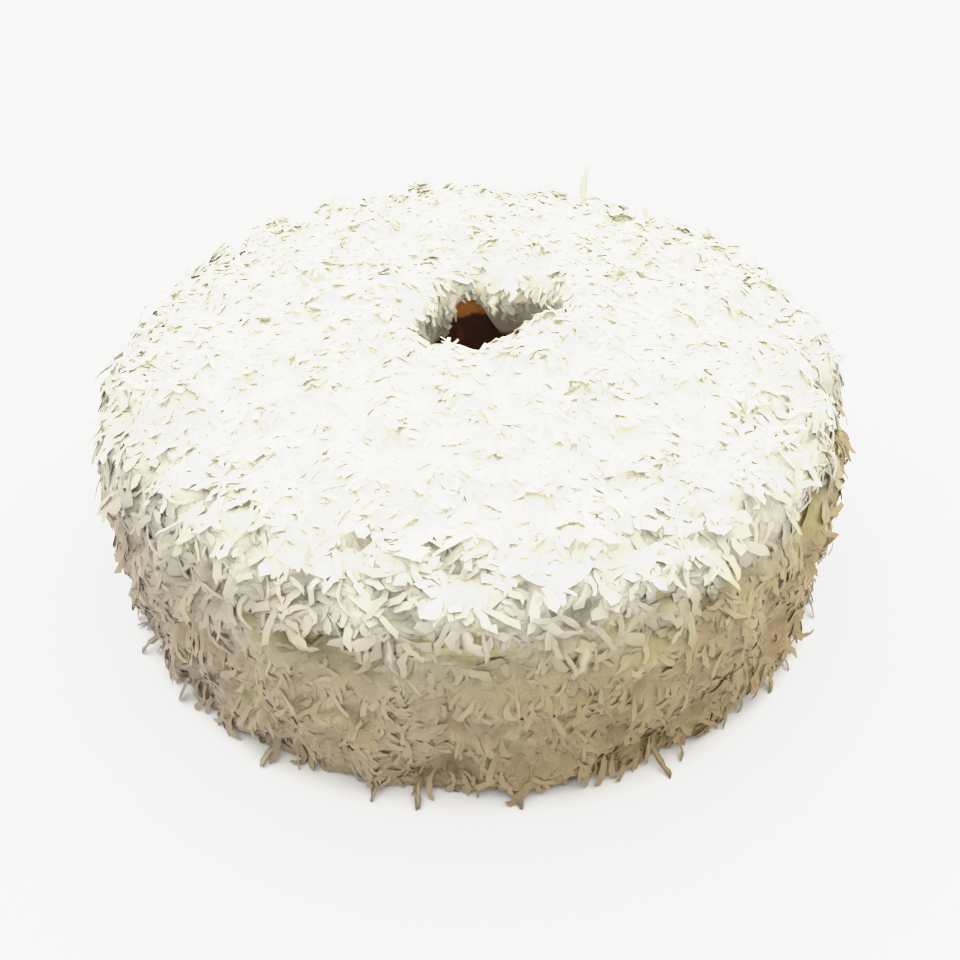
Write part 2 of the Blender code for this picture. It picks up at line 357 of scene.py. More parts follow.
# %% Set the sizes of the coat
BASE_RADIUS = 0.1360
SHOULDER_RADIUS = 0.1385
SHOULDER_Z = 0.0560
SHOULDER_REACH = 0.0300
RIM_Z = 0.0935
CROWN = 0.0020
MOUTH_Z = 0.1010
MOUTH_RADIUS = 0.0292
MOUTH_REACH = 0.0165
MOUTH_DROP = 0.0130
FOOT_Z = 0.0010
CRUST_RADIUS = (cake_high.x - cake_low.x) / 2
CRUST_TOP = cake_high.z
CRUST_RIM_Z = CRUST_TOP - 0.0065
CRUST_EDGE = 0.0220
HOLE_RADIUS = 0.0305
HOLE_EDGE = 0.0070
HOLE_DRIFT = Vector((0.0075, 0.0030, 0.0))
DRIFT_RADIUS = 0.0400
CORE_INSET = 0.0022
print("crust radius", CRUST_RADIUS, "top", CRUST_TOP)


# %% [markdown]
# ## The mouth of the hole
#
# The coat rolls over the edge of the hole and hangs a little way down its wall. At the front more of it
# has slid inwards and piled up. At the back it stops short in two places, and the crust shows there. A
# bell curve round the compass describes each of these, so that one section function serves every
# direction.

# %% Shape the mouth of the hole
SLIDE_DIRECTION = -65.0
SLIDE_SPREAD = 60.0
SLIDE_REACH = 0.0080
SLIDE_RISE = 0.0040
LIP_EDGE = 0.0022
LIP_LOW = 0.0700
LIP_WAVE = 0.0040
BARE_SPOTS = [
    # (compass direction, width in degrees, rise of the lip)
    (110.0, 19.0, 0.0168),
    (44.0, 13.0, 0.0172),
]


def turn_from(angle, direction):
    """Degrees from a compass direction to an angle in radians, between -180 and 180."""
    return (math.degrees(angle) - direction + 180.0) % 360.0 - 180.0


def bell(angle, direction, width):
    """1 in a compass direction, falling smoothly to 0 on both sides of it."""
    return math.exp(-((turn_from(angle, direction) / width) ** 2))


def lip_z(angle):
    """How far the coat reaches down the hole. It stops short where the crust shows."""
    wave = noise.noise(Vector((3.0 * math.cos(angle), 3.0 * math.sin(angle), 7.0)))
    rise = sum(height * bell(angle, direction, width) for direction, width, height in BARE_SPOTS)
    return LIP_LOW + LIP_WAVE * wave + rise


print("lip heights", [round(lip_z(math.radians(turn)), 4) for turn in (-90, 0, 46, 75, 107, 180)])


# %% Draw the section
def quarter_arc(corner, start, end, steps):
    """A quarter ellipse from start to end that bulges towards corner, without its first point."""
    points = []
    for step in range(1, steps + 1):
        angle = math.pi / 2 * step / steps
        points.append(start + (corner - start) * math.sin(angle) + (end - corner) * (1 - math.cos(angle)))
    return points


def crowned(start, end, rise, steps):
    """A line from start to end, raised into a shallow arch, without its first point."""
    arches = [rise * math.sin(math.pi * step / steps) for step in range(1, steps + 1)]
    places = [start.lerp(end, step / steps) for step in range(1, steps + 1)]
    return [place + Vector((0.0, arch)) for place, arch in zip(places, arches)]


def outer_section(angle):
    """The coat's mean outside as (stretch, point) pairs. Stretch counts 0 to 1 up the side, 1 to 2 over
    the shoulder, 2 to 3 across the top and 3 to 4 down into the hole."""
    slide = bell(angle, SLIDE_DIRECTION, SLIDE_SPREAD)
    foot = Vector((BASE_RADIUS, FOOT_Z))
    shoulder = Vector((SHOULDER_RADIUS, SHOULDER_Z))
    corner = Vector((SHOULDER_RADIUS, RIM_Z))
    rim = corner - Vector((SHOULDER_REACH, 0.0))
    mouth_corner = Vector((MOUTH_RADIUS - SLIDE_REACH * slide, MOUTH_Z + SLIDE_RISE * slide))
    mouth = mouth_corner + Vector((MOUTH_REACH, 0.0))
    throat = mouth_corner - Vector((0.0, MOUTH_DROP))
    lip = Vector((HOLE_RADIUS - LIP_EDGE, lip_z(angle)))
    stretches = [
        crowned(foot, shoulder, 0.0, 36),
        quarter_arc(corner, shoulder, rim, 30),
        crowned(rim, mouth, CROWN, 40),
        quarter_arc(mouth_corner, mouth, throat, 8) + crowned(throat, lip, 0.0, 8),
    ]
    pairs = [(0.0, foot)]
    for number, points in enumerate(stretches):
        pairs += [(number + (index + 1) / len(points), point) for index, point in enumerate(points)]
    return pairs


def inner_section(angle):
    """The inside of the core, which lies on the cake, from the lip back to the foot."""
    top = Vector((HOLE_RADIUS - 0.0004, CRUST_TOP))
    edge = Vector((CRUST_RADIUS + 0.0004, CRUST_RIM_Z))
    side = edge - Vector((0.0, CRUST_EDGE))
    inward = top + Vector((HOLE_EDGE, 0.0))
    points = [Vector((top.x, lip_z(angle))), top - Vector((0.0, HOLE_EDGE)), inward]
    points += crowned(inward, edge - Vector((CRUST_EDGE, 0.0)), CROWN, 8)
    arc = quarter_arc(edge, side, edge - Vector((CRUST_EDGE, 0.0)), 8)
    points += list(reversed(arc[:-1])) + [side, Vector((CRUST_RADIUS - 0.0036, FOOT_Z))]
    return points


print("section points", len(outer_section(0.0)), "+", len(inner_section(0.0)))


# %% [markdown]
# ## Relief, bare patches and heaps
#
# Packed coconut is lumpy. Each point of the section is pushed in or out by noise: the large lumps and
# swells are those of the plain solid, and creased clumps and small curds are added here. Under the
# shoulder the coat tucks in, because coconut slips off there, and in a few patches it missed the icing.
# The patches get a number called gap on their points, which the finish and the scattering both read.

# %% Give it relief
BUMP_SPACING = 0.0130
BUMP_HEIGHT = 0.0030
SWELL_SPACING = 0.0500
SWELL_HEIGHT = 0.0014
CLUMP_SPACING = 0.0080
CLUMP_HEIGHT = 0.0016
CURD_SPACING = 0.0032
CURD_HEIGHT = 0.0009
drift_at_crust = HOLE_DRIFT * (SHOULDER_RADIUS - CRUST_RADIUS) / (SHOULDER_RADIUS - DRIFT_RADIUS)
turning_centre = middle - drift_at_crust


def relief_at(place):
    """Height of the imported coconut: the solid's lumps and swells, with creased clumps on top. The vectors
    only move each noise to a place of its own."""
    lump = noise.noise(place / BUMP_SPACING)
    swell = noise.noise(place / SWELL_SPACING + Vector((5.0, 3.0, 1.0)))
    crease = abs(noise.noise(place / CLUMP_SPACING + Vector((2.0, 7.0, 4.0))))
    curd = noise.noise(place / CURD_SPACING)
    coarse = 2 * BUMP_HEIGHT * lump + 2 * SWELL_HEIGHT * swell
    return coarse + CLUMP_HEIGHT * (2 * crease - 0.5) + CURD_HEIGHT * curd


def around(point, angle):
    share = (SHOULDER_RADIUS - point.x) / (SHOULDER_RADIUS - DRIFT_RADIUS)
    centre = HOLE_DRIFT * min(max(share, 0.0), 1.0)
    return centre + Vector((point.x * math.cos(angle), point.x * math.sin(angle), point.y))


FOOT_STRETCH = 0.06
FOOT_SHARE = 0.35
HOLE_SHARE = 0.15


def relief_share(stretch):
    """The foot takes less of the relief, and the thin coat in the hole ever less on its way down."""
    if stretch < FOOT_STRETCH:
        return FOOT_SHARE
    return min(max((4.1 - stretch) / 1.1, HOLE_SHARE), 1.0) if stretch > 3.0 else 1.0


def smooth(value, low, high):
    share = min(max((value - low) / (high - low), 0.0), 1.0)
    return share * share * (3.0 - 2.0 * share)


# %% Leave gaps under the shoulder
TUCK_Z = 0.0640
TUCK_REACH = 0.0120
TUCK_DEPTH = 0.0034
TUCK_SPACING = 0.0300
GAP_SPACING = 0.0120
GAP_DEPTH = 0.0016
PATCH_RAGGED = 0.35
RAG_SPACING = 0.0040
BARE_PATCHES = [
    # (compass direction, height, half its width, half its height)
    (-132.0, 0.0760, 0.0085, 0.0052),
    (-103.0, 0.0862, 0.0100, 0.0050),
    (-65.0, 0.0770, 0.0075, 0.0045),
    (-89.0, 0.0660, 0.0160, 0.0050),
    (-112.0, 0.0640, 0.0080, 0.0040),
    (-84.0, 0.0250, 0.0065, 0.0050),
    (-109.0, 0.0320, 0.0080, 0.0050),
    (-70.0, 0.0330, 0.0060, 0.0042),
    (-122.0, 0.0260, 0.0060, 0.0045),
    (-30.0, 0.0560, 0.0070, 0.0045),
]


def tuck_at(place):
    """How strongly the coat is tucked in under the shoulder, from 0 to 1, uneven along the way round."""
    nearness = 1.0 - smooth(abs(place.z - TUCK_Z), 0.0, TUCK_REACH)
    return nearness * smooth(noise.noise(place / TUCK_SPACING + Vector((8.0, 2.0, 0.0))), -0.35, 0.25)


def gap_at(place):
    """1 where the coconut missed the icing: patches scattered in the tuck and those listed, else 0."""
    near_tuck = 1.0 - smooth(abs(place.z - TUCK_Z - 0.004), 0.004, 0.013)
    bare = near_tuck * smooth(noise.noise(place / GAP_SPACING + Vector((1.0, 9.0, 5.0))), 0.16, 0.26)
    ragged = PATCH_RAGGED * noise.noise(place / RAG_SPACING)
    for direction, height, half_width, half_height in BARE_PATCHES:
        turn = turn_from(math.atan2(place.y, place.x), direction)
        sideways = math.radians(turn) * SHOULDER_RADIUS / half_width
        upwards = (place.z - height) / half_height
        bare = max(bare, 1.0 - smooth(math.hypot(sideways, upwards) + ragged, 0.8, 1.1))
    return bare


# %% Heap it round the hole
HEAPS = [
    # (compass direction, width in degrees, stretch, width in stretch, height)
    (-50.0, 26.0, 3.15, 0.28, 0.0045),
    (-128.0, 22.0, 3.15, 0.26, 0.0015),
    (74.0, 14.0, 3.60, 0.35, 0.0040),
    (150.0, 30.0, 3.60, 0.40, 0.0030),
]


def heap_at(stretch, angle):
    """Extra height of the coconut that has slid into the mouth of the hole."""
    total = 0.0
    for direction, width, centre, reach, height in HEAPS:
        total += height * bell(angle, direction, width) * math.exp(-(((stretch - centre) / reach) ** 2))
    return total


# %% Turn the core
CORE_SEGMENTS = 440


def normals_of(points):
    """Unit normals of a section, to the right of its direction of travel."""
    found = []
    for index in range(len(points)):
        along = (points[min(index + 1, len(points) - 1)] - points[max(index - 1, 0)]).normalized()
        found.append(Vector((along.y, -along.x)))
    return found


def outer_ring(angle):
    """One ring's outside: (place, stretch, gap) for each point of the section."""
    pairs = outer_section(angle)
    normals = normals_of([point for _, point in pairs])
    made = []
    for (stretch, point), normal in zip(pairs, normals):
        mean = around(point, angle)
        gap = gap_at(mean) if stretch < 1.5 else 0.0
        height = relief_at(mean) * relief_share(stretch) + heap_at(stretch, angle)
        height -= CORE_INSET * (1.0 if stretch < 3 else 0.4) + TUCK_DEPTH * tuck_at(mean) + GAP_DEPTH * gap
        moved = point + normal * height
        moved.y = max(moved.y, FOOT_Z)
        made.append((around(moved, angle) + turning_centre, stretch, gap))
    return made


def inner_ring(angle):
    return [(around(point, angle) + turning_centre, -1.0, 0.0) for point in inner_section(angle)]


def turned_core():
    """The closed ring, with two numbers stored on each point: its stretch, and how bare it is."""
    shape = bmesh.new()
    stretch_layer = shape.verts.layers.float.new("stretch")
    gap_layer = shape.verts.layers.float.new("gap")
    rings = []
    for step in range(CORE_SEGMENTS):
        angle = 2 * math.pi * step / CORE_SEGMENTS
        ring = []
        for place, stretch, gap in outer_ring(angle) + inner_ring(angle):
            vertex = shape.verts.new(place)
            vertex[stretch_layer] = stretch
            vertex[gap_layer] = gap
            ring.append(vertex)
        rings.append(ring)
    for index, ring in enumerate(rings):
        following = rings[(index + 1) % len(rings)]
        for i in range(len(ring)):
            j = (i + 1) % len(ring)
            shape.faces.new((ring[i], following[i], following[j], ring[j]))
    bmesh.ops.recalc_face_normals(shape, faces=shape.faces)
    mesh = bpy.data.meshes.new("icing_core")
    shape.to_mesh(mesh)
    shape.free()
    mesh.shade_smooth()
    mesh.materials.append(icing)
    return mesh


def coat_piece(name, mesh):
    """Puts a finished mesh in the scene as a piece of the coat."""
    piece = bpy.data.objects.new(name, mesh)
    bpy.context.scene.collection.objects.link(piece)
    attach(piece, "root")
    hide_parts("coconut_icing")
    return piece


core = coat_piece("icing_core", turned_core())
print("core faces", len(core.data.polygons))

# %% [markdown]
# ## The shapes of shreds
#
# Coconut is shaved off in thin strips that taper, curl, twist and tear. A handful of different shreds
# is enough, because turning and stretching them hides the repeats. Each one is a closed strip with
# three points to a ring, two edges and a ridge between them, so it has a dozen or two faces. The ridge
# lies above or below the edges, which makes the strip a shallow roof or trough, as a shaving is. The
# rings' edges are moved a little at random, for a torn outline.


# %% Shape one shred
def shred_shape(draw, kind):
    """Points and faces of one shred. It starts at the origin and runs along X, with its top facing Z."""
    names = ("curl", "sway", "twist", "long", "wide", "point")
    curl, sway, twist, long, wide, point = (draw.uniform(*kind[name]) for name in names)
    rings = kind["rings"]
    step = kind["length"] * long / (rings - 1)
    ridge = kind["thickness"] * draw.choice((-1.0, 1.0))
    pitch, yaw, roll = -0.5 * curl, -0.5 * sway, -0.5 * twist
    place = Vector((0.0, 0.0, 0.0))
    points = []
    for ring in range(rings):
        forward = Vector((math.cos(pitch) * math.cos(yaw), math.cos(pitch) * math.sin(yaw), math.sin(pitch)))
        if ring > 0:
            place = place + forward * step
        across = Vector((0.0, 0.0, 1.0)).cross(forward).normalized()
        upward = forward.cross(across)
        side = across * math.cos(roll) + upward * math.sin(roll)
        top = forward.cross(side)
        taper = math.sin(math.pi * (0.5 + point * (ring / (rings - 1) - 0.5)))
        half = kind["width"] * wide / 2 * taper
        torn = forward * step * draw.uniform(-0.3, 0.3)
        near, far = half * draw.uniform(0.5, 1.5), half * draw.uniform(0.5, 1.5)
        points.append(place + side * near + torn)
        points.append(place - side * far - torn)
        points.append(place + top * ridge * taper + side * (near - far) / 2)
        pitch += curl * draw.uniform(0.4, 1.6) / (rings - 1)
        yaw += sway * draw.uniform(0.2, 1.8) / (rings - 1)
        roll += twist * draw.uniform(0.5, 1.5) / (rings - 1)
    faces = [(0, 2, 1), (3 * rings - 3, 3 * rings - 2, 3 * rings - 1)]
    for ring in range(rings - 1):
        for i, j in ((0, 1), (1, 2), (2, 0)):
            faces.append((3 * ring + i, 3 * ring + j, 3 * ring + 3 + j, 3 * ring + 3 + i))
    return points, faces


# %% Make a handful of each kind
HANDFUL = 24
RIDGE = 2


def outward_mesh(name, points, faces):
    """A smooth mesh whose faces all point outwards."""
    mesh = bpy.data.meshes.new(name)
    mesh.from_pydata(points, [], faces)
    shape = bmesh.new()
    shape.from_mesh(mesh)
    bmesh.ops.recalc_face_normals(shape, faces=shape.faces)
    shape.to_mesh(mesh)
    shape.free()
    mesh.shade_smooth()
    return mesh


def sharpen_outline(mesh, rings):
    """Keeps the ridge soft, and makes the two long edges and both ends crisp."""
    for edge in mesh.edges:
        near, far = sorted(edge.vertices)
        rim = near % 3 != RIDGE and far - near == 3
        end = far < 3 or near >= 3 * (rings - 1)
        edge.use_edge_sharp = rim or end


def handful(name, seed, **kind):
    """A collection of different shreds of one kind, all with the same number of points."""
    draw = random.Random(seed)
    made = bpy.data.collections.new(name)
    for number in range(HANDFUL):
        mesh = outward_mesh(f"{name}_{number}", *shred_shape(draw, kind))
        sharpen_outline(mesh, kind["rings"])
        made.objects.link(bpy.data.objects.new(f"{name}_{number}", mesh))
    return made


fine = handful(
    "fine", 3, rings=4, length=0.0066, width=0.0020, thickness=0.00028, point=(0.3, 0.8),
    curl=(-0.5, 0.2), sway=(-1.5, 1.5), twist=(-0.5, 0.5), long=(0.5, 1.3), wide=(0.5, 1.4),
)
broad = handful(
    "broad", 5, rings=5, length=0.0084, width=0.0033, thickness=0.00040, point=(0.1, 0.62),
    curl=(-0.9, 0.2), sway=(-2.3, 2.3), twist=(-0.5, 0.5), long=(0.5, 1.4), wide=(0.5, 1.3),
)
curly = handful(
    "curly", 6, rings=6, length=0.0098, width=0.0019, thickness=0.00040, point=(0.2, 0.70),
    curl=(-1.3, 0.3), sway=(-2.8, 2.8), twist=(-0.8, 0.8), long=(0.5, 1.4), wide=(0.5, 1.4),
)
matted = handful(
    "matted", 8, rings=4, length=0.0064, width=0.0019, thickness=0.00040, point=(0.1, 0.65),
    curl=(-0.8, 0.3), sway=(-2.2, 2.2), twist=(-0.5, 0.5), long=(0.5, 1.4), wide=(0.5, 1.5),
)

# %% [markdown]
# ## Scattering
#
# One Geometry Nodes tree serves every kind. It spreads points evenly over one stretch of the core,
# lays a shred on each, turns it and stores its tone, and ends by making the instances real. A shred on
# the top may point anywhere. The steeper the coat, the more a shred hangs with its tip down. The
# alternative, a hair system, would leave curves and not closed thin solids.
#
# Moist coconut mats together, and light passes from one shred into the next, so its facets hardly
# show. The tree therefore bends the shading normals of each shred most of the way towards the normal
# of the coat under it. The input called Matted says how far.

# %% List the tree's inputs
SCATTER_INPUTS = [
    ("Core", "NodeSocketGeometry", None),
    ("Shreds", "NodeSocketCollection", None),
    ("Finish", "NodeSocketMaterial", None),
    ("Seed", "NodeSocketInt", 0),
    ("Start", "NodeSocketFloat", 0.0),
    ("End", "NodeSocketFloat", 1.0),
    ("Fade", "NodeSocketFloat", 0.1),
    ("Spacing", "NodeSocketFloat", 0.002),
    ("Density", "NodeSocketFloat", 100000.0),
    ("Avoid Gaps", "NodeSocketFloat", 0.95),
    ("Hang", "NodeSocketFloat", 1.0),
    ("Lift Low", "NodeSocketFloat", 0.0),
    ("Lift High", "NodeSocketFloat", 0.5),
    ("Roll", "NodeSocketFloat", 0.5),
    ("Combed", "NodeSocketFloat", 0.5),
    ("Tuft", "NodeSocketFloat", 0.012),
    ("Matted", "NodeSocketFloat", 0.72),
    ("Small", "NodeSocketFloat", 0.7),
    ("Large", "NodeSocketFloat", 1.2),
    ("Sink", "NodeSocketFloat", 0.001),
    ("Rise", "NodeSocketFloat", 0.001),
]


def declare_inputs(tree):
    tree.interface.new_socket(name="Pieces", in_out="OUTPUT", socket_type="NodeSocketGeometry")
    for name, kind, default in SCATTER_INPUTS:
        socket = tree.interface.new_socket(name=name, in_out="INPUT", socket_type=kind)
        if default is not None:
            socket.default_value = default


# %% Build the tree
def random_between(graph, low, high, seed):
    """A random number for each point."""
    sockets = {2: low, 3: high, 8: seed}
    return graph.node("FunctionNodeRandomValue", {"data_type": "FLOAT"}, sockets)[1]


def spread_points(graph, given):
    """Points over the asked stretch of the core, as a node that gives them and their normals."""
    stretch = graph.node("GeometryNodeInputNamedAttribute", {"data_type": "FLOAT"}, {"Name": "stretch"})[0]
    begins = graph.between(stretch, given["Start"] - given["Fade"], given["Start"] + given["Fade"])
    ends = 1.0 - graph.between(stretch, given["End"] - given["Fade"], given["End"] + given["Fade"])
    gap = graph.node("GeometryNodeInputNamedAttribute", {"data_type": "FLOAT"}, {"Name": "gap"})[0]
    sockets = {
        "Mesh": given["Core"],
        "Distance Min": given["Spacing"],
        "Density Max": given["Density"],
        "Density Factor": begins * ends * (1.0 - gap * given["Avoid Gaps"]),
        "Seed": given["Seed"],
    }
    return graph.node("GeometryNodeDistributePointsOnFaces", {"distribute_method": "POISSON"}, sockets)


def turn_of_shred(graph, given, normal):
    """Lies along the surface, hangs where it is steep, then is lifted, rolled and yawed a little."""
    upness = graph.node("ShaderNodeSeparateXYZ", {}, {0: normal})["Z"]
    hang = given["Hang"] * (1.0 - graph.between(upness, 0.25, 0.95))
    anyway = graph.node(
        "FunctionNodeRandomValue",
        {"data_type": "FLOAT_VECTOR"},
        {0: (-1.0, -1.0, -1.0), 1: (1.0, 1.0, 1.0), 8: given["Seed"] + 1},
    )[0]
    swirl = graph.node("ShaderNodeTexNoise", {}, {"Scale": 1.0 / given["Tuft"], "Detail": 1.0})["Color"]
    combed = graph.scaled(graph.vector("SUBTRACT", swirl, (0.5, 0.5, 0.5)), given["Combed"] * 5.0)
    downward = graph.scaled((0.0, 0.0, -1.0), hang * 1.6)
    looseness = (1.0 - hang * 0.5) * (1.0 - given["Combed"] * 0.5)
    loose = graph.vector("ADD", graph.scaled(anyway, looseness), combed)
    wanted = graph.vector("ADD", loose, downward)
    lying = graph.node("FunctionNodeAlignRotationToVector", {"axis": "Z"}, {"Vector": normal})[0]
    heading = graph.node(
        "FunctionNodeAlignRotationToVector",
        {"axis": "X", "pivot_axis": "Z"},
        {"Rotation": lying, "Vector": wanted},
    )[0]
    roll = random_between(graph, 0.0 - given["Roll"], given["Roll"], given["Seed"] + 2)
    chance = random_between(graph, 0.0, 1.0, given["Seed"] + 3)
    lift = given["Lift Low"] + (given["Lift High"] - given["Lift Low"]) * chance * chance
    euler = graph.node("ShaderNodeCombineXYZ", {}, {"X": roll, "Y": 0.0 - lift})[0]
    extra = graph.node("FunctionNodeEulerToRotation", {}, {0: euler})[0]
    settings = {"rotation_space": "LOCAL"}
    return graph.node("FunctionNodeRotateRotation", settings, {"Rotation": heading, "Rotate By": extra})[0]


def laid_shreds(graph, given, spread):
    """A shred of a random size on each point."""
    height = random_between(graph, 0.0 - given["Sink"], given["Rise"], given["Seed"] + 4)
    offset = graph.scaled(spread["Normal"], height)
    placed = graph.node("GeometryNodeSetPosition", {}, {"Geometry": spread["Points"], "Offset": offset})[0]
    sockets = {"Collection": given["Shreds"], "Separate Children": True, "Reset Children": True}
    shreds = graph.node("GeometryNodeCollectionInfo", {}, sockets)[0]
    long = random_between(graph, given["Small"], given["Large"], given["Seed"] + 5)
    wide = random_between(graph, given["Small"], given["Large"], given["Seed"] + 6)
    sockets = {4: 0, 5: HANDFUL - 1, 8: given["Seed"] + 7}
    sockets = {
        "Points": placed,
        "Instance": shreds,
        "Pick Instance": True,
        "Instance Index": graph.node("FunctionNodeRandomValue", {"data_type": "INT"}, sockets)[2],
        "Rotation": turn_of_shred(graph, given, spread["Normal"]),
        "Scale": graph.node("ShaderNodeCombineXYZ", {}, {"X": long, "Y": wide, "Z": long})[0],
    }
    return graph.node("GeometryNodeInstanceOnPoints", {}, sockets)[0]


def stored(graph, pieces, kind, name, value):
    """The same pieces with a value stored on each instance."""
    settings = {"data_type": kind, "domain": "INSTANCE"}
    sockets = {0: pieces, "Name": name, "Value": value}
    return graph.node("GeometryNodeStoreNamedAttribute", settings, sockets)[0]


def matted_together(graph, given, pieces):
    """The pieces with their shading normals bent towards the coat's own, on both of their faces."""
    lay = graph.node("GeometryNodeInputNamedAttribute", {"data_type": "FLOAT_VECTOR"}, {"Name": "lay"})[0]
    normals = graph.node("GeometryNodeInputNormal")
    facing = graph.dot(normals["True Normal"], lay)
    sign = graph.node("ShaderNodeMath", {"operation": "SIGN"}, {0: facing})[0]
    own = graph.scaled(normals["Normal"], 1.0 - given["Matted"])
    bent = graph.vector("ADD", own, graph.scaled(lay, given["Matted"] * sign))
    settings = {"mode": "FREE", "domain": "CORNER"}
    return graph.node("GeometryNodeSetMeshNormal", settings, {"Mesh": pieces, "Custom Normal": bent})[0]


def scatter_tree():
    tree = bpy.data.node_groups.new("scatter_shreds", "GeometryNodeTree")
    declare_inputs(tree)
    graph = Graph(tree)
    given = graph.node("NodeGroupInput")
    spread = spread_points(graph, given)
    laid = laid_shreds(graph, given, spread)
    laid = stored(graph, laid, "FLOAT", "tone", random_between(graph, 0.0, 1.0, given["Seed"] + 8))
    laid = stored(graph, laid, "FLOAT_VECTOR", "lay", spread["Normal"])
    real = graph.node("GeometryNodeRealizeInstances", {}, {0: laid})[0]
    soft = matted_together(graph, given, real)
    dressed = graph.node("GeometryNodeSetMaterial", {}, {0: soft, "Material": given["Finish"]})[0]
    graph.node("NodeGroupOutput", {}, {0: dressed})
    return tree


scatter = scatter_tree()
print("scatter nodes", len(scatter.nodes))


# %% Run the tree
FLOOR_CLEARANCE = 0.0003


def raise_off_floor(mesh, points_each):
    """Lifts each shred that would reach through the floor until it just clears it."""
    coords = np.empty(len(mesh.vertices) * 3, np.float32)
    mesh.vertices.foreach_get("co", coords)
    shreds = coords.reshape(-1, points_each, 3)
    lift = np.maximum(FLOOR_CLEARANCE - shreds[:, :, 2].min(axis=1), 0.0)
    shreds[:, :, 2] += lift[:, None]
    mesh.vertices.foreach_set("co", shreds.ravel())
    mesh.update()
    return int((lift > 0).sum())


def scattered(name, shreds, values):
    """A finished piece: the shreds of one kind over one stretch of the core, as a plain mesh."""
    host = bpy.data.objects.new("host", core.data)
    bpy.context.scene.collection.objects.link(host)
    modifier = host.modifiers.new("scatter", "NODES")
    modifier.node_group = scatter
    values = {"Shreds": shreds, "Finish": coconut, **values}
    for item in scatter.interface.items_tree:
        if item.in_out == "INPUT" and item.name in values:
            modifier[item.identifier] = values[item.name]
    graph = bpy.context.evaluated_depsgraph_get()
    mesh = bpy.data.meshes.new_from_object(host.evaluated_get(graph))
    bpy.data.objects.remove(host)
    mesh.name = name
    points_each = len(shreds.objects[0].data.vertices)
    raised = raise_off_floor(mesh, points_each)
    coat_piece(name, mesh)
    triangles = sum(len(face.vertices) - 2 for face in mesh.polygons)
    print(name, len(mesh.vertices) // points_each, "shreds", triangles, "triangles", raised, "raised")


# %% [markdown]
# ## Layer upon layer
#
# Fine shreds cover the top. Broad flakes lie over the shoulder, with curly ones among them. The side
# has narrower shreds that hang down, and at the foot a few stick out over the floor. Each of the first
# three stretches has a flat layer that hides the icing and a looser one on top of it. Start and End
# are stretches of the section, lifts and rolls are in radians, and Spacing is how close two shreds may
# start.

# %% Cover the top
scattered("top_shreds_lying", fine, {
    "Seed": 11, "Start": 1.85, "End": 3.8, "Fade": 0.25, "Spacing": 0.00164, "Density": 700000.0,
    "Hang": 0.5, "Lift Low": -0.10, "Lift High": 0.05, "Roll": 0.12, "Sink": 0.0005, "Rise": 0.0,
    "Matted": 0.88,
})
scattered("top_shreds_loose", fine, {
    "Seed": 23, "Start": 1.85, "End": 4.0, "Fade": 0.25, "Spacing": 0.0020, "Density": 400000.0,
    "Hang": 0.5, "Lift Low": -0.08, "Lift High": 0.12, "Roll": 0.25, "Sink": 0.0004, "Rise": 0.0001,
    "Matted": 0.86,
})

# %% Cover the shoulder
scattered("shoulder_flakes_lying", broad, {
    "Seed": 31, "Start": 1.10, "End": 2.05, "Fade": 0.2, "Spacing": 0.0020, "Density": 500000.0,
    "Hang": 0.45, "Lift Low": -0.10, "Lift High": 0.03, "Roll": 0.10, "Sink": 0.0008, "Rise": 0.0,
    "Matted": 0.93,
})
scattered("shoulder_flakes_loose", curly, {
    "Seed": 43, "Start": 1.15, "End": 2.00, "Fade": 0.25, "Spacing": 0.0028, "Density": 300000.0,
    "Hang": 0.45, "Lift Low": -0.12, "Lift High": 0.08, "Roll": 0.15, "Sink": 0.0006, "Rise": 0.0001,
    "Matted": 0.92,
})

# %% Cover the side
scattered("side_shreds_lying", matted, {
    "Seed": 51, "Start": 0.0, "End": 1.15, "Fade": 0.15, "Spacing": 0.00184, "Density": 600000.0,
    "Hang": 0.50, "Lift Low": -0.12, "Lift High": 0.06, "Roll": 0.15, "Sink": 0.0006, "Rise": 0.0,
    "Matted": 0.91,
})
scattered("side_shreds_loose", curly, {
    "Seed": 63, "Start": 0.0, "End": 1.12, "Fade": 0.1, "Spacing": 0.0033, "Density": 300000.0,
    "Hang": 0.55, "Lift Low": -0.10, "Lift High": 0.12, "Roll": 0.25, "Sink": 0.0007, "Rise": 0.0001,
    "Matted": 0.89, "Large": 1.0,
})

# %% Fringe the foot
scattered("foot_shreds", curly, {
    "Seed": 71, "Start": -0.2, "End": 0.10, "Fade": 0.06, "Spacing": 0.0030, "Density": 200000.0,
    "Hang": 0.7, "Lift Low": 0.10, "Lift High": 0.70, "Roll": 0.3, "Sink": 0.0008, "Rise": 0.0,
    "Matted": 0.86, "Large": 1.0,
})

# %% [markdown]
# ## Strays
#
# A few shreds catch the eye, such as one that stands up at the back, one that curls out at the left of
# the foot, and flakes that hang over the far edge of the hole. Scattering can't be told to put a shred
# just there, so these are listed, in degrees and metres. They take less of the painted shade than their
# neighbours, so they are paler, as shreds that stand clear of the side catch more light.

